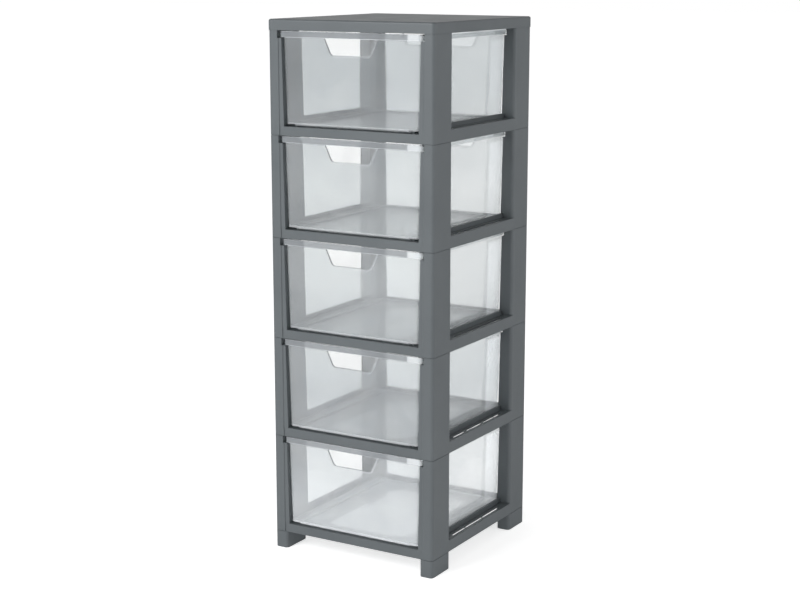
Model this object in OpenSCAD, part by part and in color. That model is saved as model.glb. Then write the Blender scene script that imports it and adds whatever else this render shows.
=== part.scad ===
// Free-standing drawer tower: five stacked frames, five clear drawers, a top cover and four feet.
// Millimetres, +Z up, front towards -Y. The origin is on the floor under the middle of the tower.

/* [Overall] */
// Width of the top cover, the widest piece
overall_width = 332; // [300:1:400]
// Depth of the top cover, the deepest piece
overall_depth = 355; // [320:1:440]
// Height of one frame, from one seam to the next
level_pitch = 181; // [150:1:230]
// Height of the feet below the lowest frame
foot_height = 31; // [20:1:60]
// Height of the top cover
cover_height = 19; // [14:0.5:30]
// How far the top cover stands out past the frames
cover_overhang = 1; // [0.5:0.5:3]

/* [Posts] */
// Width of a front post across the front
front_post_width = 26; // [24:0.5:34]
// Depth of a front post along the side
front_post_depth = 63; // [50:1:80]
// How much narrower the rear posts are than the front ones
rear_post_relief = 3.5; // [1:0.5:6]
// Depth of a rear post along the side
rear_post_depth = 61; // [50:1:80]
// Radius of the upright outer corners
corner_radius = 6; // [3:0.5:9]
// Width of a front post's outer band, in front of the set-back strip
band_width = 21; // [20:0.5:23]
// How far the strip beside the drawer and the front rail are set back
strip_setback = 1.5; // [1:0.5:3]
// Width of a post where the drawer's rim passes
notch_post_width = 18.5; // [17:0.5:19]
// Height of the notch for the drawer's rim
notch_height = 13; // [12.5:0.5:16]
// Depth of the notch in a rear post, which stops the drawer
rear_notch_depth = 20; // [12:1:30]

/* [Shelf] */
// Height of the front and back rails
rail_height = 16; // [13:0.5:20]
// Height of the side rails, up to their flat ledge
side_rail_height = 21; // [18:0.5:24]
// Width of the side rails' flat ledge
ledge_width = 19; // [15:0.5:20]
// Height of the guide rib beside the drawer
guide_height = 29; // [22:0.5:32]
// Width of the shelf on each side of the middle opening
side_shelf_width = 80; // [60:1:95]
// Depth of the shelf behind the front rail
front_shelf_depth = 36; // [30:1:60]
// Thickness of the shelf and of the rails' walls
shelf_wall = 2.5; // [2:0.25:3.5]

/* [Drawers] */
// Side gap between the drawer's body and a front post
drawer_side_gap = 1.5; // [1:0.5:3]
// Gap between the drawer's floor and the shelf
drawer_floor_gap = 1.5; // [1:0.25:3]
// Gap under the drawer's raised sides, above the runners
drawer_lift = 0.4; // [0.3:0.1:1]
// Gap between the rim's top and the piece above
drawer_top_gap = 1.5; // [1:0.25:3]
// How far the rim stands out past the drawer's body
rim_overhang = 5.5; // [4:0.5:6]
// Height of the rim's band
rim_height = 10; // [8:0.5:10.5]
// Thickness of the drawer's walls and floor
drawer_wall = 2.2; // [2:0.1:3]
// How far each side leans in from top to bottom, as do the posts beside it
side_draft = 4; // [1:0.5:6]
// How far the back leans in from top to bottom
back_draft = 4; // [2:0.5:8]
// How far the front leans in from top to bottom
front_draft = 1.5; // [0.5:0.5:3]
// Half width of the drawer's low floor, between its raised sides
low_floor_half = 114; // [100:1:118]
// How much higher the drawer's underside is along its sides
side_step = 3; // [2:0.25:4]
// Width of the finger cut-out at its top
grip_top_width = 103; // [80:1:130]
// Width of the finger cut-out at its bottom
grip_bottom_width = 77; // [60:1:79]
// Height of the finger cut-out
grip_height = 28; // [22:1:34]
// Width of the cut-out in the back at its top
back_grip_top_width = 157; // [140:1:180]
// Width of the cut-out in the back at its bottom
back_grip_bottom_width = 136; // [100:1:139]
// Height of the cut-out in the back
back_grip_height = 24; // [18:1:34]

/* [Hidden] */
frame_grey = [0.44, 0.46, 0.48];
clear_plastic = [0.93, 0.95, 0.96, 0.35];
level_count = 5;
clearance = 0.5;
bite = 0.5;
cut = 1;
half_width = overall_width / 2 - cover_overhang;
half_depth = overall_depth / 2 - cover_overhang;
front_y = -half_depth;
back_y = half_depth;
front_post_back = front_y + front_post_depth;
rear_post_front = back_y - rear_post_depth;
rear_post_width = front_post_width - rear_post_relief;
front_inner = front_y + strip_setback + shelf_wall;
cover_z = foot_height + level_count * level_pitch;

// posts and their plug joints
inner_corner = 2;
post_taper = side_draft;
post_lean = post_taper / level_pitch;
seam_height = 0.8;
seam_depth = 0.6;
post_wall = 2.5;
post_cap = notch_height + post_wall;
plug_height = 8;
plug_wall = 2.5;
plug_margin = 1;
foot_floor = 3;
rear_foot_width = rear_post_width + post_taper;

// shelf
opening_half = half_width - side_shelf_width;
opening_front = front_y + front_shelf_depth;
opening_inset = 4;
opening_back = rear_post_front + opening_inset;
opening_radius = 30;
shelf_bottom = rail_height - shelf_wall;
skirt_wall = 2.5;
skirt_drop = 8;
stiffener = 2;
stiffener_drop = 6;
stiffener_count = 3;
guide_width = 4;
guide_setback = 21;
guide_outer = half_width - guide_setback;
guide_inner = guide_outer - guide_width;
ledge_inner = half_width - ledge_width;
ledge_wall = 2;
slot_setback = 7;
slot_width = 5;
slot_inner = half_width - slot_setback - slot_width;
slot_margin = 25;
slot_end_gap = 24;
runner_width = 4;
runner_gap = 2;
runner_start = 14;
runner_end_gap = 4;
runner_height = drawer_floor_gap + side_step - drawer_lift;

// drawer
body_half = half_width - front_post_width - drawer_side_gap;
rim_half = body_half + rim_overhang;
rim_setback = 2;
stop_gap = 1;
body_setback = 1.5;
rim_front = front_y + rim_setback;
rim_back = rear_post_front + rear_notch_depth - stop_gap;
body_front = rim_front + body_setback;
body_back = rim_back - body_setback;
drawer_bottom = rail_height + drawer_floor_gap;
drawer_top = level_pitch - drawer_top_gap;
rim_bottom = drawer_top - rim_height;
flange = 2.5;
rim_wall = 2;
body_corner = 7;
base_corner = 7;
base_edge = 5;
rim_corner = 6;
arc_step = 10;
drawer_fn = 40;
ring_slab = 0.5;
grip_corner = 8;
grip_top = rim_bottom - bite;
lip_width = 2.5;
lip_proud = 1.5;
front_grip = [grip_top_width, grip_bottom_width, grip_height];
back_grip = [back_grip_top_width, back_grip_bottom_width, back_grip_height];

// top cover
cover_half_width = overall_width / 2;
cover_half_depth = overall_depth / 2;
cover_corner = corner_radius + cover_overhang;
cover_edge = 3.5;
cover_wall = 2.5;
cover_skirt_wall = 3.5;
cover_rib = 2;
cover_rib_drop = 6;
cover_rib_places = [-1, 1];

$fa = 6;
$fs = 0.4;

// ---- flat shapes ----

// a rectangle whose corners have the radii [front inner, front outer, back outer, back inner]
module corner_rect(x0, x1, y0, y1, radii) {
    places = [[x0, y0, 1, 1], [x1, y0, -1, 1], [x1, y1, -1, -1], [x0, y1, 1, -1]];
    difference() {
        translate([x0, y0]) square([x1 - x0, y1 - y0]);
        for (i = [0:3]) {
            p = places[i];
            r = radii[i];
            if (r > 0) {
                translate([min(p[0], p[0] + p[2] * r), min(p[1], p[1] + p[3] * r)]) square(r);
            }
        }
    }
    for (i = [0:3]) {
        p = places[i];
        r = radii[i];
        if (r > 0) {
            translate([p[0] + p[2] * r, p[1] + p[3] * r]) circle(r);
        }
    }
}

module round_rect(x0, x1, y0, y1, r) {
    corner_rect(x0, x1, y0, y1, [r, r, r, r]);
}

module front_post_outline() {
    strip_x = half_width - front_post_width - post_taper - bite;
    corner_rect(half_width - band_width, half_width, front_y, front_post_back,
        [inner_corner, corner_radius, corner_radius, 0]);
    translate([strip_x, front_y + strip_setback]) {
        square([half_width - band_width + bite - strip_x, front_post_depth - strip_setback]);
    }
}

module rear_post_outline() {
    corner_rect(half_width - rear_post_width - post_taper - bite, half_width, rear_post_front,
        back_y, [0, corner_radius, corner_radius, 0]);
}

module front_core_outline(gap) {
    x0 = half_width - front_post_width + post_wall + gap;
    y0 = front_y + strip_setback + post_wall + gap;
    translate([x0, y0]) {
        square([half_width - post_wall - gap - x0, front_post_back - post_wall - gap - y0]);
    }
}

module rear_core_outline(gap) {
    x0 = half_width - rear_post_width + post_wall + gap;
    y0 = rear_post_front + post_wall + gap;
    translate([x0, y0]) {
        square([half_width - post_wall - gap - x0, back_y - post_wall - gap - y0]);
    }
}

// the plugs stay clear of the notches for the drawer's rim
module plug_outlines() {
    intersection() {
        union() {
            front_core_outline(clearance);
            rear_core_outline(clearance);
        }
        translate([half_width - notch_post_width + plug_margin, front_y]) {
            square([notch_post_width, 2 * half_depth]);
        }
    }
}

module shelf_opening(grow) {
    round_rect(-opening_half - grow, opening_half + grow, opening_front - grow,
        opening_back + grow, opening_radius + grow);
}

module both_sides() {
    children();
    mirror([1, 0, 0]) children();
}

// the open place between the guide rib and the side rail's outer band, under the ledge
module ledge_hollow() {
    translate([guide_outer, front_post_back]) {
        square([guide_setback - shelf_wall, rear_post_front - front_post_back]);
    }
}

// ---- one stacking frame, standing on its own seam plane ----

// the frame's outline, with the front set back between the posts' bands
module ring_outline() {
    difference() {
        round_rect(-half_width, half_width, front_y, back_y, corner_radius);
        translate([-half_width + band_width, front_y - cut]) {
            square([2 * (half_width - band_width), strip_setback + cut]);
        }
    }
}

module shelf_ring() {
    linear_extrude(rail_height) {
        difference() {
            ring_outline();
            round_rect(-half_width + shelf_wall, half_width - shelf_wall, front_inner,
                back_y - shelf_wall, corner_radius - shelf_wall);
        }
    }
    translate([0, 0, shelf_bottom]) {
        linear_extrude(shelf_wall) {
            difference() {
                round_rect(-half_width + bite, half_width - bite, front_inner - bite,
                    back_y - bite, corner_radius - bite);
                shelf_opening(0);
                both_sides() ledge_hollow();
            }
        }
    }
    translate([0, 0, rail_height - skirt_drop]) {
        linear_extrude(skirt_drop) {
            difference() {
                shelf_opening(skirt_wall);
                shelf_opening(0);
            }
        }
    }
}

module shelf_side() {
    stiffener_bottom = shelf_bottom - stiffener_drop;
    side_length = rear_post_front - front_post_back + 2 * bite;
    // outer band of the side rail
    translate([half_width - shelf_wall, front_post_back - corner_radius, 0]) {
        cube([shelf_wall, rear_post_front - front_post_back + 2 * corner_radius,
            side_rail_height]);
    }
    // square feet of the rounded posts, up to the band's top
    for (y = [front_post_back - corner_radius, rear_post_front]) {
        translate([half_width - corner_radius, y, shelf_bottom]) {
            cube([corner_radius, corner_radius, side_rail_height - shelf_bottom]);
        }
    }
    // flat ledge
    translate([ledge_inner, front_post_back - bite, side_rail_height - ledge_wall]) {
        cube([ledge_width - bite, side_length, ledge_wall]);
    }
    // guide rib beside the drawer
    translate([guide_inner, front_post_back - bite, shelf_bottom]) {
        cube([guide_width, side_length, guide_height - shelf_bottom]);
    }
    // runner under the drawer
    translate([low_floor_half + runner_gap, front_y + runner_start, shelf_bottom]) {
        cube([runner_width, body_back - back_draft - runner_end_gap - front_y - runner_start,
            shelf_wall + runner_height]);
    }
    // stiffeners under the shelf
    for (i = [1:stiffener_count]) {
        y = opening_front + (opening_back - opening_front) * i / (stiffener_count + 1);
        translate([opening_half + skirt_wall - bite, y - stiffener / 2, stiffener_bottom]) {
            cube([guide_inner - opening_half - skirt_wall + bite, stiffener,
                stiffener_drop + bite]);
        }
    }
    // stiffeners behind the front rail and before the back rail
    translate([opening_half / 2, front_inner - bite, stiffener_bottom]) {
        cube([stiffener, opening_front - skirt_wall - front_inner + 2 * bite,
            stiffener_drop + bite]);
    }
    translate([opening_half / 2, opening_back + skirt_wall - bite, stiffener_bottom]) {
        cube([stiffener, back_y - shelf_wall - opening_back - skirt_wall + 2 * bite,
            stiffener_drop + bite]);
    }
}

// trims a post's inner side to a slope that meets the given place at the top
module lean_cut(x, y0, y1) {
    outer = x - post_taper - 2 * cut;
    translate([0, y1 + cut, 0]) {
        rotate([90, 0, 0]) linear_extrude(y1 - y0 + 2 * cut) {
            polygon([[x - post_taper - post_lean * cut, -cut],
                [x + post_lean * cut, level_pitch + cut], [outer, level_pitch + cut],
                [outer, -cut]]);
        }
    }
}

module frame_posts() {
    difference() {
        linear_extrude(level_pitch) {
            front_post_outline();
            rear_post_outline();
        }
        lean_cut(half_width - front_post_width, front_y, front_post_back);
        lean_cut(half_width - rear_post_width, rear_post_front, back_y);
    }
    translate([0, 0, level_pitch - bite]) {
        linear_extrude(plug_height + bite) plug_outlines();
    }
}

module frame_cuts() {
    // hollow cores, open at the bottom
    translate([0, 0, -cut]) {
        linear_extrude(level_pitch - post_cap + cut) {
            front_core_outline(0);
            rear_core_outline(0);
        }
    }
    // passage for the drawer's rim
    for (reach = [[front_y - cut, front_post_back + cut],
            [rear_post_front - cut, rear_post_front + rear_notch_depth]]) {
        translate([half_width - notch_post_width - front_post_width, reach[0],
                level_pitch - notch_height]) {
            cube([front_post_width, reach[1] - reach[0], notch_height + cut]);
        }
    }
    // slot along the ledge
    translate([slot_inner, front_post_back + slot_margin, side_rail_height - ledge_wall - cut]) {
        cube([slot_width, rear_post_front - slot_end_gap - front_post_back - slot_margin,
            ledge_wall + 2 * cut]);
    }
}

module seam_cut(x, y, r) {
    translate([0, 0, -cut]) {
        linear_extrude(seam_height + cut) {
            difference() {
                square([2 * x + 2 * cut, 2 * y + 2 * cut], center = true);
                round_rect(-x + seam_depth, x - seam_depth, -y + seam_depth, y - seam_depth,
                    r - seam_depth);
            }
        }
    }
}

module stacking_frame() {
    difference() {
        union() {
            shelf_ring();
            both_sides() shelf_side();
            both_sides() frame_posts();
        }
        both_sides() frame_cuts();
        seam_cut(half_width, half_depth, corner_radius);
    }
}

// ---- one drawer, in its frame's place ----

// a quarter turn of a profile, for the corner on the given sides
module corner_quarter(side, end, profile) {
    start = end > 0 ? (side > 0 ? 0 : 90) : (side > 0 ? 270 : 180);
    rotate([0, 0, start]) rotate_extrude(angle = 90, $fn = drawer_fn) polygon(profile);
}

// the tapered body, made smaller by inset on every side and at the bottom
module tapered_body(inset, floor_z, top_z) {
    x_top = body_half - inset;
    x_low = body_half - side_draft - inset;
    y_top = [body_front + inset, body_back - inset];
    y_low = [body_front + front_draft + inset, body_back - back_draft - inset];
    r_top = body_corner - inset;
    r_low = base_corner - inset;
    edge = base_edge - inset;
    low_profile = concat([[0, edge + ring_slab], [0, 0]],
        [for (a = [0:arc_step:90]) [r_low - edge + edge * sin(a), edge - edge * cos(a)]],
        [[r_low, edge + ring_slab]]);
    top_profile = [[0, 0], [r_top, 0], [r_top, ring_slab], [0, ring_slab]];
    hull() {
        for (side = [-1, 1]) {
            for (i = [0, 1]) {
                end = 2 * i - 1;
                translate([side * (x_low - r_low), y_low[i] - end * r_low, floor_z]) {
                    corner_quarter(side, end, low_profile);
                }
                translate([side * (x_top - r_top), y_top[i] - end * r_top, top_z - ring_slab]) {
                    corner_quarter(side, end, top_profile);
                }
            }
        }
    }
}

// a cut-out of size [top width, bottom width, height], with round lower corners
module grip_outline(size, grow) {
    angle = atan((size[0] - size[1]) / 2 / size[2]);
    low = grip_top - size[2] - grow;
    half_low = size[1] / 2 + grow * (1 / cos(angle) - tan(angle));
    half_top = size[0] / 2 + grow / cos(angle);
    r = grip_corner + grow;
    run = r * tan(45 - angle / 2);
    side = [half_low + run * sin(angle), low + run * cos(angle)];
    polygon([[-half_low + run, low], [half_low - run, low], side, [half_top, grip_top],
        [-half_top, grip_top], [-side[0], side[1]]]);
    for (x = [-1, 1]) {
        translate([x * (half_low - run), low + r]) circle(r);
    }
}

module grip_plate(size, grow, y0, y1) {
    translate([0, y1, 0]) {
        rotate([90, 0, 0]) linear_extrude(y1 - y0) grip_outline(size, grow);
    }
}

// the drawer's underside is raised along both sides, over the runners
module side_steps(grow) {
    both_sides() {
        translate([low_floor_half - grow, body_front - cut, drawer_bottom - cut]) {
            cube([body_half, body_back - body_front + 2 * cut, cut + side_step + grow]);
        }
    }
}

// the flange's inner edge lies in the middle of the wall
module drawer_rim() {
    root = drawer_wall / 2;
    translate([0, 0, drawer_top - flange]) {
        linear_extrude(flange) {
            difference() {
                round_rect(-rim_half, rim_half, rim_front, rim_back, rim_corner);
                round_rect(-body_half + root, body_half - root, body_front + root,
                    body_back - root, body_corner - root);
            }
        }
    }
    translate([0, 0, rim_bottom]) {
        linear_extrude(rim_height) {
            difference() {
                round_rect(-rim_half, rim_half, rim_front, rim_back, rim_corner);
                round_rect(-rim_half + rim_wall, rim_half - rim_wall, rim_front + rim_wall,
                    rim_back - rim_wall, rim_corner - rim_wall);
            }
        }
    }
}

module drawer_box() {
    difference() {
        union() {
            tapered_body(0, drawer_bottom, drawer_top);
            grip_plate(front_grip, lip_width, body_front - lip_proud, body_front + drawer_wall);
            grip_plate(back_grip, lip_width, body_back - drawer_wall, body_back + lip_proud);
        }
        side_steps(0);
        difference() {
            tapered_body(drawer_wall, drawer_bottom + drawer_wall, drawer_top + cut);
            side_steps(drawer_wall);
        }
        grip_plate(front_grip, 0, body_front - lip_proud - cut,
            body_front + front_draft + drawer_wall + cut);
        grip_plate(back_grip, 0, body_back - back_draft - drawer_wall - cut,
            body_back + lip_proud + cut);
    }
    drawer_rim();
}

// ---- feet and top cover ----

module front_foot() {
    difference() {
        union() {
            linear_extrude(foot_height) {
                corner_rect(half_width - front_post_width, half_width, front_y, front_post_back,
                    [corner_radius, corner_radius, corner_radius, corner_radius]);
            }
            linear_extrude(foot_height + plug_height) front_core_outline(clearance);
        }
        translate([0, 0, foot_floor]) {
            linear_extrude(foot_height + plug_height) front_core_outline(clearance + plug_wall);
        }
    }
}

module rear_foot() {
    difference() {
        union() {
            linear_extrude(foot_height) {
                corner_rect(half_width - rear_foot_width, half_width, rear_post_front, back_y,
                    [corner_radius, corner_radius, corner_radius, corner_radius]);
            }
            linear_extrude(foot_height + plug_height) rear_core_outline(clearance);
        }
        translate([0, 0, foot_floor]) {
            linear_extrude(foot_height + plug_height) rear_core_outline(clearance + plug_wall);
        }
    }
}

// a plate with rounded upright corners and a rounded upper edge
module soft_plate(x, y, height, corner, edge) {
    linear_extrude(height - edge) round_rect(-x, x, -y, y, corner);
    linear_extrude(height) {
        round_rect(-x + edge, x - edge, -y + edge, y - edge, corner - edge);
    }
    for (side = [-1, 1]) {
        translate([side * (x - edge), 0, height - edge]) {
            rotate([90, 0, 0]) cylinder(h = 2 * (y - corner), r = edge, center = true);
        }
        translate([0, side * (y - edge), height - edge]) {
            rotate([0, 90, 0]) cylinder(h = 2 * (x - corner), r = edge, center = true);
        }
        for (end = [-1, 1]) {
            translate([side * (x - corner), end * (y - corner), height - edge]) {
                rotate_extrude() {
                    translate([corner - edge, 0]) {
                        intersection() {
                            circle(edge);
                            translate([0, -edge]) square([edge, 2 * edge]);
                        }
                    }
                }
            }
        }
    }
}

module cover_hollow() {
    difference() {
        translate([0, 0, -cut]) {
            linear_extrude(cover_height - cover_wall + cut) {
                round_rect(-cover_half_width + cover_skirt_wall,
                    cover_half_width - cover_skirt_wall, -cover_half_depth + cover_skirt_wall,
                    cover_half_depth - cover_skirt_wall, cover_corner - cover_skirt_wall);
            }
        }
        // corner blocks over the posts
        both_sides() {
            translate([half_width - front_post_width, front_y, -2 * cut]) {
                cube([front_post_width + cut, front_post_depth, cover_height + 2 * cut]);
            }
            translate([half_width - rear_post_width, rear_post_front, -2 * cut]) {
                cube([rear_post_width + cut, rear_post_depth + cut, cover_height + 2 * cut]);
            }
        }
        // ribs under the top plate
        for (i = cover_rib_places) {
            translate([i * cover_half_width / 3 - cover_rib / 2, -cover_half_depth,
                    cover_height - cover_wall - cover_rib_drop]) {
                cube([cover_rib, 2 * cover_half_depth, cover_height]);
            }
            translate([-cover_half_width, i * cover_half_depth / 3 - cover_rib / 2,
                    cover_height - cover_wall - cover_rib_drop]) {
                cube([2 * cover_half_width, cover_rib, cover_height]);
            }
        }
    }
}

module cover_body() {
    difference() {
        soft_plate(cover_half_width, cover_half_depth, cover_height, cover_corner, cover_edge);
        cover_hollow();
        both_sides() {
            translate([0, 0, -cut]) {
                linear_extrude(plug_height + 2 * cut) {
                    front_core_outline(0);
                    rear_core_outline(0);
                }
            }
        }
    }
}

// ---- pieces ----

module at_level(n) {
    translate([0, 0, foot_height + (n - 1) * level_pitch]) children();
}

module top_cover() {
    color(frame_grey) translate([0, 0, cover_z]) cover_body();
}

module frame_1() {
    color(frame_grey) at_level(1) stacking_frame();
}

module frame_2() {
    color(frame_grey) at_level(2) stacking_frame();
}

module frame_3() {
    color(frame_grey) at_level(3) stacking_frame();
}

module frame_4() {
    color(frame_grey) at_level(4) stacking_frame();
}

module frame_5() {
    color(frame_grey) at_level(5) stacking_frame();
}

module drawer_1() {
    color(clear_plastic) at_level(1) drawer_box();
}

module drawer_2() {
    color(clear_plastic) at_level(2) drawer_box();
}

module drawer_3() {
    color(clear_plastic) at_level(3) drawer_box();
}

module drawer_4() {
    color(clear_plastic) at_level(4) drawer_box();
}

module drawer_5() {
    color(clear_plastic) at_level(5) drawer_box();
}

module foot_front_left() {
    color(frame_grey) mirror([1, 0, 0]) front_foot();
}

module foot_front_right() {
    color(frame_grey) front_foot();
}

module foot_rear_left() {
    color(frame_grey) mirror([1, 0, 0]) rear_foot();
}

module foot_rear_right() {
    color(frame_grey) rear_foot();
}

top_cover();
frame_1();
frame_2();
frame_3();
frame_4();
frame_5();
drawer_1();
drawer_2();
drawer_3();
drawer_4();
drawer_5();
foot_front_left();
foot_front_right();
foot_rear_left();
foot_rear_right();
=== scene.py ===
"""Looks of the drawer tower: grey moulded frames, clear drawers and soft studio light."""

import math

import bpy
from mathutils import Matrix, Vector


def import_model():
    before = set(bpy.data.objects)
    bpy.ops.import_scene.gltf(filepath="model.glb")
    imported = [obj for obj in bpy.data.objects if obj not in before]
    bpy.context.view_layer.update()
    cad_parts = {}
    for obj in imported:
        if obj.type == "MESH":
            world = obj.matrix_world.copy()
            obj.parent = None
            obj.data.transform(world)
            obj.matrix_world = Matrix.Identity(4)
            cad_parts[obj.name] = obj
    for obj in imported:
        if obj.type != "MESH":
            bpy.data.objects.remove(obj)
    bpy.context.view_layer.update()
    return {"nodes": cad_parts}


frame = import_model()
nodes = frame["nodes"]
scene = bpy.context.scene

WHITE = (1.0, 1.0, 1.0, 1.0)

# ---- camera: fitted to edge points of the tower, no lens shift ----

CAMERA_AT = (1.5083, -2.5418, 1.0556)
YAW = math.radians(30.77)
PITCH = math.radians(11.64)
SENSOR = 36.0
FOCAL_PX = 1655.0
FRAME_PX = 800.0
CLIP = (0.05, 50.0)

# ---- grey plastic ----

GREY_DARK = (0.094, 0.107, 0.115, 1.0)
GREY_LIGHT = (0.106, 0.120, 0.128, 1.0)
GREY_ROUGH = (0.36, 0.44)
GREY_IOR = 1.49
GREY_SOFT_EDGE = 0.0008
GRAIN_BUMP = (0.06, 0.0002)  # strength, distance of the fine moulded grain
SINK_BUMP = (0.25, 0.0008)  # of the broad, hardly seen waves

# ---- clear plastic: tints, with painted light and shade ----

# (height in metres, tint), one for about the middle of each drawer; the faint blue-green cast is
# the plastic's own, while each tint's darkness is painted shade and light
SIDE_TINT_AND_SHADE_AT = ((0.12, (0.975, 0.985, 0.98, 1.0)),
           (0.30, (0.65, 0.68, 0.69, 1.0)),
           (0.48, (0.76, 0.78, 0.78, 1.0)),
           (0.66, (0.79, 0.81, 0.81, 1.0)),
           (0.85, (0.61, 0.64, 0.65, 1.0)))
FRONT_TINT_AND_SHADE_AT = ((0.12, (0.84, 0.86, 0.86, 1.0)),
            (0.30, (0.53, 0.56, 0.57, 1.0)),
            (0.48, (0.66, 0.69, 0.69, 1.0)),
            (0.66, (0.70, 0.73, 0.73, 1.0)),
            (0.85, (0.49, 0.52, 0.53, 1.0)))
# painted light: the back and the left wall are kept clearer than the others
BACK_TINT_AND_LIGHT = (0.98, 0.985, 0.985, 1.0)
LEFT_TINT_AND_LIGHT = (0.88, 0.89, 0.89, 1.0)
TINT_WANDER = 0.02
AIR_TINT = (0.83, 0.84, 0.84, 1.0)
CLEAR_IOR = 1.46
SHEEN = 0.2
CLEAR_ROUGH = (0.03, 0.09)
WAVE_BUMP = (0.15, 0.0006)

# ---- clear plastic: its milky share, and the milk's colour and glow, with painted light, shade and highlights ----

FLOOR_MILK = 0.32
FRONT_MILK = 0.03
SIDE_MILK = 0.10
CORNER_MILK = 0.20
BACK_MILK = 0.13
# painted shade: the front rim's milk is dark grey; painted light: its right end is clearer
RIM_SHADE_MILK = 0.72
RIM_END_LIGHT_MILK = 0.35
# painted highlight: white milk on the plastic's sharp edges
EDGE_HIGHLIGHT_MILK = 0.75
MILK_DRIFT = (0.6, 1.0)
MILK_LIGHT_DROP = 0.7  # how much milkier, and so lighter, the plastic gets from the tower's top to its foot, as painted light
DROP_FROM, DROP_TO = 0.9, 0.1
MILK_LOW = (0.72, 0.75, 0.79, 1.0)
MILK_HIGH = (0.82, 0.84, 0.86, 1.0)
MILK_ROUGH = 0.35
# painted shade: the grey of the front rim
RIM_SHADE_GREY = (0.21, 0.225, 0.24, 1.0)
# painted light: the glow's colour, and the glow low down and in the rear ends of the sides
PAINTED_GLOW_TINT = (0.93, 0.96, 1.0, 1.0)
LOW_PAINTED_GLOW = 0.16
CORNER_PAINTED_GLOW = 0.50

# ---- clear plastic: zones as (full, none), in shares of the drawer's own box ----

FLOOR_Z = (0.02, 0.06)
BELOW_RIM_Z = (0.86, 0.90)
RIM_Z = (0.94, 0.92)
RIM_FRONT_Y = (0.004, 0.012)
FRONT_MILK_Y = (0.02, 0.05)
FRONT_TINT_AND_SHADE_Y = (0.04, 0.05)
REAR_END_Y = (0.82, 0.79)
BACK_Y = (0.98, 0.95)
LEFT_X = (0.05, 0.07)
RIM_END_X = (0.905, 0.89)
MIDDLE_X = 0.5
SIDE_FROM_MIDDLE = (0.475, 0.45)
# painted light: the plastic glows below this height
LOW_HEIGHT = (0.06, 0.23)  # in metres above the floor
EDGE_RADIUS = 0.0011
EDGE_TURN = (0.86, 0.97)  # cosine between the face and the rounded edge

# ---- stage ----

FLOOR_HALF = 30.0
FLOOR_WHITE = (0.86, 0.86, 0.86, 1.0)
FLOOR_GLOW = 0.66  # seen by the camera
FLOOR_SHINE = 0.90  # seen through clear plastic
FLOOR_BOUNCE = 0.75  # on what stands near it
SKY_FROM, SKY_TO = -0.2, 0.9  # how far up the soft light fades
SKY_LOW, SKY_HIGH = 0.75, 0.35

# name, place, aim, width, height, watts
LAMPS = (("key", (-1.0, -3.0, 2.0), (0.0, 0.0, 0.6), 1.5, 1.5, 60),
         ("side", (2.7, 0.9, 1.0), (0.0, 0.0, 0.4), 0.4, 1.8, 9),
         ("glint", (0.4, -3.2, 0.62), (0.13, -0.17, 0.75), 0.15, 0.36, 3))


# ---- node helpers ----

def new_material(name):
    mat = bpy.data.materials.new(name)
    mat.use_nodes = True
    tree = mat.node_tree
    tree.nodes.clear()
    return mat, tree


def add(tree, kind, **inputs):
    """A new node with its inputs set. An underscore in a name stands for a space."""
    node = tree.nodes.new(kind)
    for key, value in inputs.items():
        node.inputs[key.replace("_", " ")].default_value = value
    return node


def link(tree, source, socket):
    tree.links.new(source, socket)


def feed(tree, socket, value):
    """Sets a socket to a plain value, or links it to another node's output."""
    if isinstance(value, (int, float, tuple)):
        socket.default_value = value
    else:
        link(tree, value, socket)


def combine(tree, operation, first, *others):
    """The values joined one after the other by a math operation."""
    result = first
    for other in others:
        node = tree.nodes.new("ShaderNodeMath")
        node.operation = operation
        feed(tree, node.inputs[0], result)
        feed(tree, node.inputs[1], other)
        result = node.outputs[0]
    return result


def noise(tree, coords, scale, detail, rough=0.5):
    node = add(tree, "ShaderNodeTexNoise", Scale=scale, Detail=detail, Roughness=rough)
    link(tree, coords, node.inputs["Vector"])
    return node.outputs["Fac"]


def spread(tree, value, lo, hi, from_lo=0.3, from_hi=0.7):
    """Maps from_lo to lo and from_hi to hi. Noise lies mostly between 0.3 and 0.7."""
    node = add(tree, "ShaderNodeMapRange", From_Min=from_lo, From_Max=from_hi,
               To_Min=lo, To_Max=hi)
    link(tree, value, node.inputs["Value"])
    return node.outputs["Result"]


def zone(tree, value, ends):
    """1 where value is at the first end, 0 from the second end on."""
    full, none = ends
    node = add(tree, "ShaderNodeMapRange", From_Min=none, From_Max=full)
    node.interpolation_type = "SMOOTHSTEP"
    link(tree, value, node.inputs["Value"])
    return node.outputs["Result"]


def blend(tree, factor, a, b):
    """Colour a where factor is 0, colour b where it is 1."""
    node = tree.nodes.new("ShaderNodeMix")
    node.data_type = "RGBA"
    link(tree, factor, node.inputs["Factor"])
    feed(tree, node.inputs["A"], a)
    feed(tree, node.inputs["B"], b)
    return node.outputs["Result"]


def mix_shaders(tree, factor, a, b):
    """Shader a where factor is 0, shader b where it is 1."""
    node = tree.nodes.new("ShaderNodeMixShader")
    for socket, source in zip(node.inputs, (factor, a, b)):
        link(tree, source, socket)
    return node.outputs[0]


def bump(tree, relief, strength, distance, normal=None):
    node = add(tree, "ShaderNodeBump", Strength=strength, Distance=distance)
    link(tree, relief, node.inputs["Height"])
    if normal is not None:
        link(tree, normal, node.inputs["Normal"])
    return node.outputs["Normal"]


def rounded(tree, radius, samples):
    """The normal as if the edges were rounded."""
    node = add(tree, "ShaderNodeBevel", Radius=radius)
    node.samples = samples
    return node.outputs["Normal"]


def places(tree, kind):
    """X, Y and Z of a place: Object in metres, Generated in shares of the piece's box."""
    parts = tree.nodes.new("ShaderNodeSeparateXYZ")
    link(tree, tree.nodes.new("ShaderNodeTexCoord").outputs[kind], parts.inputs[0])
    return parts.outputs


# ---- grey plastic ----

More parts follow.
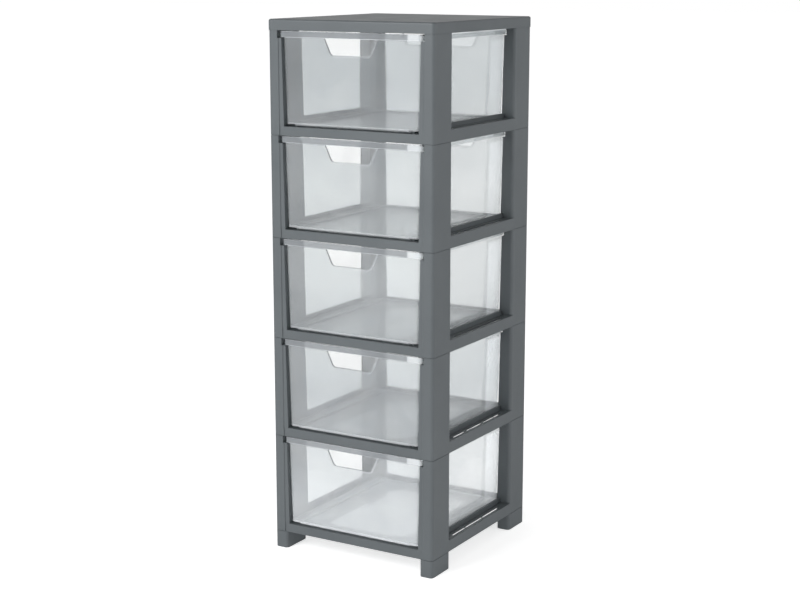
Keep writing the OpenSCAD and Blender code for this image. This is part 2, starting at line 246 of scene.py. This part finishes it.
def grey_plastic():
    mat, tree = new_material("grey_plastic")
    coords = tree.nodes.new("ShaderNodeTexCoord").outputs["Object"]
    out = tree.nodes.new("ShaderNodeOutputMaterial")
    bsdf = add(tree, "ShaderNodeBsdfPrincipled", IOR=GREY_IOR)

    cloud = spread(tree, noise(tree, coords, scale=9.0, detail=3.0), 0.0, 1.0)
    link(tree, blend(tree, cloud, GREY_DARK, GREY_LIGHT), bsdf.inputs["Base Color"])
    patches = noise(tree, coords, scale=26.0, detail=4.0, rough=0.6)
    link(tree, spread(tree, patches, *GREY_ROUGH), bsdf.inputs["Roughness"])

    grain = noise(tree, coords, scale=1700.0, detail=2.0)
    sink = noise(tree, coords, scale=18.0, detail=2.0)
    normal = rounded(tree, GREY_SOFT_EDGE, samples=4)
    normal = bump(tree, grain, *GRAIN_BUMP, normal)
    normal = bump(tree, sink, *SINK_BUMP, normal)
    link(tree, normal, bsdf.inputs["Normal"])

    link(tree, bsdf.outputs["BSDF"], out.inputs["Surface"])
    return mat


# ---- clear plastic ----

def edges(tree):
    """1 on the sharp edges of the plastic, where milk is laid on as a painted highlight, 0 on its
    flat faces.
    """
    face = tree.nodes.new("ShaderNodeNewGeometry")
    dot = tree.nodes.new("ShaderNodeVectorMath")
    dot.operation = "DOT_PRODUCT"
    link(tree, rounded(tree, EDGE_RADIUS, samples=6), dot.inputs[0])
    link(tree, face.outputs["Normal"], dot.inputs[1])
    return zone(tree, dot.outputs["Value"], EDGE_TURN)


def drawer_zones(tree):
    """The zones of a drawer that differ in tint, milk or glow, each 1 inside and 0 outside."""
    box = places(tree, "Generated")
    from_middle = combine(tree, "SUBTRACT", box["X"], MIDDLE_X)
    sides = zone(tree, combine(tree, "ABSOLUTE", from_middle, 0.0), SIDE_FROM_MIDDLE)
    return {
        "floor": zone(tree, box["Z"], FLOOR_Z),
        "front milk": zone(tree, box["Y"], FRONT_MILK_Y),
        "front tint and shade": zone(tree, box["Y"], FRONT_TINT_AND_SHADE_Y),
        "back": zone(tree, box["Y"], BACK_Y),
        "left": zone(tree, box["X"], LEFT_X),
        "sides": sides,
        "rear ends": combine(tree, "MULTIPLY", sides, zone(tree, box["Y"], REAR_END_Y),
                             zone(tree, box["Z"], BELOW_RIM_Z)),
        "rim": combine(tree, "MULTIPLY", zone(tree, box["Z"], RIM_Z),
                       zone(tree, box["Y"], RIM_FRONT_Y)),
        "rim end": zone(tree, box["X"], RIM_END_X),
        "edges": edges(tree),
    }


def tint_and_shade_at(tree, level, tints):
    ramp = tree.nodes.new("ShaderNodeValToRGB")
    stops = ramp.color_ramp.elements
    for i, (place, colour) in enumerate(tints):
        stop = stops[i] if i < 2 else stops.new(place)
        stop.position = place
        stop.color = colour
    link(tree, level, ramp.inputs["Fac"])
    return ramp.outputs["Color"]


def wall_tint_and_shade(tree, coords, height, zones):
    """Painted light and shade: the front is the darkest wall, the left one and the back are the
    clearest, and each wall's tint changes with height.
    """
    cloud = noise(tree, coords, scale=12.0, detail=3.0)
    level = combine(tree, "ADD", height, spread(tree, cloud, -TINT_WANDER, TINT_WANDER))
    # painted light and shade: tints by height, a clearer left wall and back, a darker front
    colour = blend(tree, zones["left"], tint_and_shade_at(tree, level, SIDE_TINT_AND_SHADE_AT), LEFT_TINT_AND_LIGHT)
    colour = blend(tree, zones["back"], colour, BACK_TINT_AND_LIGHT)
    return blend(tree, zones["front tint and shade"], colour, tint_and_shade_at(tree, level, FRONT_TINT_AND_SHADE_AT))


def milkiness(tree, coords, height, zones):
    """How milky the plastic is: most on its edges, rim and floor, least in its walls. The milk on
    the edges is a painted highlight.
    """
    walls = combine(tree, "MAXIMUM",
                    combine(tree, "MULTIPLY", zones["floor"], FLOOR_MILK),
                    combine(tree, "MULTIPLY", zones["front milk"], FRONT_MILK),
                    combine(tree, "MULTIPLY", zones["sides"], SIDE_MILK),
                    combine(tree, "MULTIPLY", zones["rear ends"], CORNER_MILK),
                    BACK_MILK)
    drift = spread(tree, noise(tree, coords, scale=7.0, detail=3.0), *MILK_DRIFT)
    # painted light: towards the tower's foot the plastic gets milkier and so lighter
    low_light = spread(tree, height, 0.0, 1.0, DROP_FROM, DROP_TO)
    drift = combine(tree, "ADD", drift, combine(tree, "MULTIPLY", low_light, MILK_LIGHT_DROP))
    # painted shade: the rim's grey milk; painted light: its clearer right end
    rim_share = spread(tree, zones["rim end"], RIM_SHADE_MILK, RIM_END_LIGHT_MILK, 0.0, 1.0)
    # the milk on the edges is a painted highlight
    return combine(tree, "MAXIMUM",
                   combine(tree, "MULTIPLY", walls, drift),
                   combine(tree, "MULTIPLY", zones["rim"], rim_share),
                   combine(tree, "MULTIPLY", zones["edges"], EDGE_HIGHLIGHT_MILK))


def milk(tree, haze, height, zones):
    """Milky plastic: a front rim in painted grey shade but for its lighter right end, and a painted
    glow low down and in the corners.
    """
    node = add(tree, "ShaderNodeBsdfPrincipled", Roughness=MILK_ROUGH, IOR=CLEAR_IOR,
               Emission_Color=PAINTED_GLOW_TINT)
    flat = combine(tree, "SUBTRACT", 1.0, zones["edges"])
    not_end = combine(tree, "SUBTRACT", 1.0, zones["rim end"])
    colour = blend(tree, spread(tree, haze, 0.0, 1.0), MILK_LOW, MILK_HIGH)
    # painted shade: the front rim in grey, but for its right end and its edges
    colour = blend(tree, combine(tree, "MULTIPLY", zones["rim"], not_end, flat), colour, RIM_SHADE_GREY)
    link(tree, colour, node.inputs["Base Color"])
    # painted light: the plastic glows low down and in the rear ends of its sides
    glow = combine(tree, "MAXIMUM",
                   combine(tree, "MULTIPLY", zone(tree, height, LOW_HEIGHT), LOW_PAINTED_GLOW),
                   combine(tree, "MULTIPLY", zones["rear ends"], flat, CORNER_PAINTED_GLOW))
    link(tree, glow, node.inputs["Emission Strength"])
    return node.outputs[0]


def clear_plastic():
    mat, tree = new_material("clear_plastic")
    coords = tree.nodes.new("ShaderNodeTexCoord").outputs["Object"]
    height = places(tree, "Object")["Z"]
    zones = drawer_zones(tree)
    haze = noise(tree, coords, scale=30.0, detail=3.0)
    flow = noise(tree, coords, scale=14.0, detail=2.0)

    glass = add(tree, "ShaderNodeBsdfPrincipled", Transmission_Weight=1.0, IOR=CLEAR_IOR,
                Specular_IOR_Level=SHEEN)
    link(tree, wall_tint_and_shade(tree, coords, height, zones), glass.inputs["Base Color"])
    link(tree, spread(tree, haze, *CLEAR_ROUGH), glass.inputs["Roughness"])
    link(tree, bump(tree, flow, *WAVE_BUMP), glass.inputs["Normal"])
    body = mix_shaders(tree, milkiness(tree, coords, height, zones), glass.outputs[0],
                       milk(tree, haze, height, zones))

    # lamps and soft light pass straight through, so that the drawers don't fill with dark
    path = tree.nodes.new("ShaderNodeLightPath").outputs
    soft_ray = combine(tree, "MAXIMUM", path["Is Shadow Ray"], path["Is Diffuse Ray"])
    open_air = add(tree, "ShaderNodeBsdfTransparent", Color=AIR_TINT)
    out = tree.nodes.new("ShaderNodeOutputMaterial")
    link(tree, mix_shaders(tree, soft_ray, body, open_air.outputs[0]), out.inputs["Surface"])
    return mat


grey = grey_plastic()
clear = clear_plastic()
for name, obj in nodes.items():
    obj.data.materials.clear()
    obj.data.materials.append(clear if name.startswith("drawer") else grey)


# ---- stage ----

def floor():
    half = FLOOR_HALF
    mesh = bpy.data.meshes.new("floor")
    mesh.from_pydata([(-half, -half, 0), (half, -half, 0), (half, half, 0), (-half, half, 0)],
                     [], [(0, 1, 2, 3)])
    obj = bpy.data.objects.new("floor", mesh)
    scene.collection.objects.link(obj)
    mat, tree = new_material("floor_white")
    out = tree.nodes.new("ShaderNodeOutputMaterial")
    bsdf = add(tree, "ShaderNodeBsdfDiffuse", Color=FLOOR_WHITE)
    glow = add(tree, "ShaderNodeEmission", Color=WHITE)
    path = tree.nodes.new("ShaderNodeLightPath").outputs
    strength = combine(tree, "MAXIMUM",
                       combine(tree, "MULTIPLY", path["Is Camera Ray"], FLOOR_GLOW),
                       combine(tree, "MULTIPLY", path["Is Transmission Ray"], FLOOR_SHINE),
                       combine(tree, "MULTIPLY", path["Is Diffuse Ray"], FLOOR_BOUNCE))
    link(tree, strength, glow.inputs["Strength"])
    both = tree.nodes.new("ShaderNodeAddShader")
    link(tree, bsdf.outputs[0], both.inputs[0])
    link(tree, glow.outputs[0], both.inputs[1])
    link(tree, both.outputs[0], out.inputs["Surface"])
    mesh.materials.append(mat)


def world():
    """Soft light that fades upwards, seen as plain white by the camera and through plastic."""
    made = bpy.data.worlds.new("studio")
    scene.world = made
    made.use_nodes = True
    tree = made.node_tree
    tree.nodes.clear()
    out = tree.nodes.new("ShaderNodeOutputWorld")
    up = places(tree, "Generated")["Z"]
    light = add(tree, "ShaderNodeBackground", Color=WHITE)
    link(tree, spread(tree, up, SKY_LOW, SKY_HIGH, SKY_FROM, SKY_TO), light.inputs["Strength"])
    backdrop = add(tree, "ShaderNodeBackground", Color=WHITE, Strength=1.0)
    path = tree.nodes.new("ShaderNodeLightPath").outputs
    seen = combine(tree, "MAXIMUM", path["Is Camera Ray"], path["Is Transmission Ray"])
    link(tree, mix_shaders(tree, seen, light.outputs[0], backdrop.outputs[0]),
         out.inputs["Surface"])


def softbox(name, place, aim, wide, tall, watts):
    data = bpy.data.lights.new(name, "AREA")
    data.shape = "RECTANGLE"
    data.size = wide
    data.size_y = tall
    data.energy = watts
    obj = bpy.data.objects.new(name, data)
    scene.collection.objects.link(obj)
    obj.location = place
    obj.rotation_euler = (Vector(aim) - Vector(place)).to_track_quat("-Z", "Y").to_euler()


def camera():
    lens = bpy.data.cameras.new("camera")
    lens.sensor_width = SENSOR
    lens.lens = FOCAL_PX * SENSOR / FRAME_PX
    lens.clip_start, lens.clip_end = CLIP
    obj = bpy.data.objects.new("camera", lens)
    scene.collection.objects.link(obj)
    obj.location = CAMERA_AT
    forward = Vector((-math.sin(YAW) * math.cos(PITCH), math.cos(YAW) * math.cos(PITCH),
                      -math.sin(PITCH)))
    obj.rotation_mode = "QUATERNION"
    obj.rotation_quaternion = forward.to_track_quat("-Z", "Y")
    scene.camera = obj


floor()
world()
for lamp in LAMPS:
    softbox(*lamp)
camera()
scene.view_settings.view_transform = "Standard"
